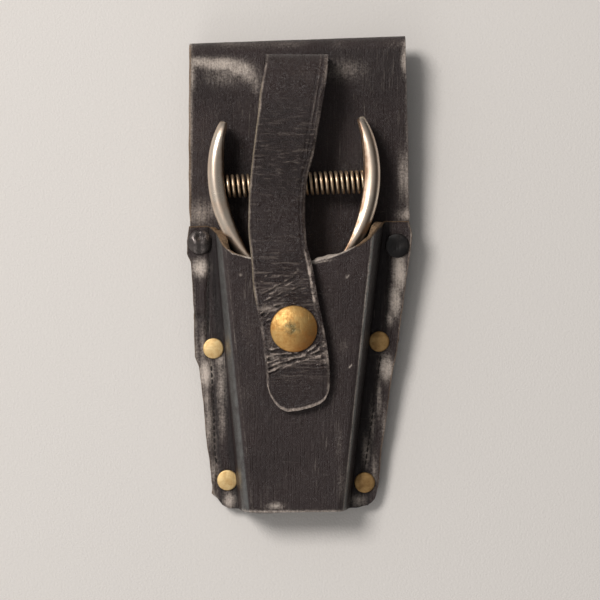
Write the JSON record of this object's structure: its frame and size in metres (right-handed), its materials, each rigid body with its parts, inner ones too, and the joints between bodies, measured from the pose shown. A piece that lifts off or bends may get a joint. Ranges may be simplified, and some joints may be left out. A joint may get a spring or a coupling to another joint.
{
  "type": "guillotine nail clipper in belt holster",
  "caption": "Guillotine pet nail clipper with bowed sprung handles, head down in a moulded leather belt holster with a strap that snaps shut over it",
  "frame": {"origin": "centre of the outline, on the surface that the rear ply of the belt loop lies on", "axes": "+X to the right, +Y towards the fold of the belt loop, +Z out of the pouch's front"},
  "size_m": [0.0741, 0.1568, 0.0345],
  "materials": {
    "leather": "black-brown oiled leather, semi-gloss, worn",
    "brass": "worn polished brass",
    "black_metal": "glossy black enamel",
    "nickel": "worn nickel plate",
    "steel": "ground steel",
    "wire": "drawn spring wire, slightly tarnished"
  },
  "bodies": {
    "holster": {"back_panel": "leather", "front_panel": "leather", "strap_root": "leather", "loop_rivets": "black_metal", "loop_rivet_burrs": "brass", "side_rivets": "brass", "side_rivet_burrs": "brass", "snap_stud": "brass", "snap_eyelet": "brass"},
    "strap": {"strap_flap": "leather", "snap_cap": "brass", "snap_socket": "brass"},
    "clipper": {"frame_handle": "nickel", "cover_plate": "nickel", "cover_screws": "steel", "pivot_pin": "steel", "spring": "wire"},
    "lever": {"lever_handle": "nickel", "drive_pin": "steel"},
    "cutter": {"blade_carrier": "steel", "blade": "steel", "blade_screw": "steel"}
  },
  "joints": [
    {"name": "strap_swing", "type": "hinge", "parent": "holster", "child": "strap", "pos_m": [0, 0.0697, 0.021], "axis": [-1, 0, 0], "range_deg": [0, 170]},
    {"name": "clipper_draw", "type": "slide", "parent": "holster", "child": "clipper", "axis": [0, 1, 0], "range_m": [0, 0.012]},
    {"name": "lever_squeeze", "type": "hinge", "parent": "clipper", "child": "lever", "pos_m": [0.0129, -0.0356, 0.0181], "axis": [0, 0, 1], "range_deg": [0, 20], "deforming": ["spring"]},
    {"name": "blade_slide", "type": "slide", "parent": "clipper", "child": "cutter", "axis": [0.0349, -0.9994, 0], "range_m": [0, 0.0059]}
  ],
  "couplings": [
    {"joint": "blade_slide", "follows": "lever_squeeze", "m_per_rad": 0.016914}
  ]
}
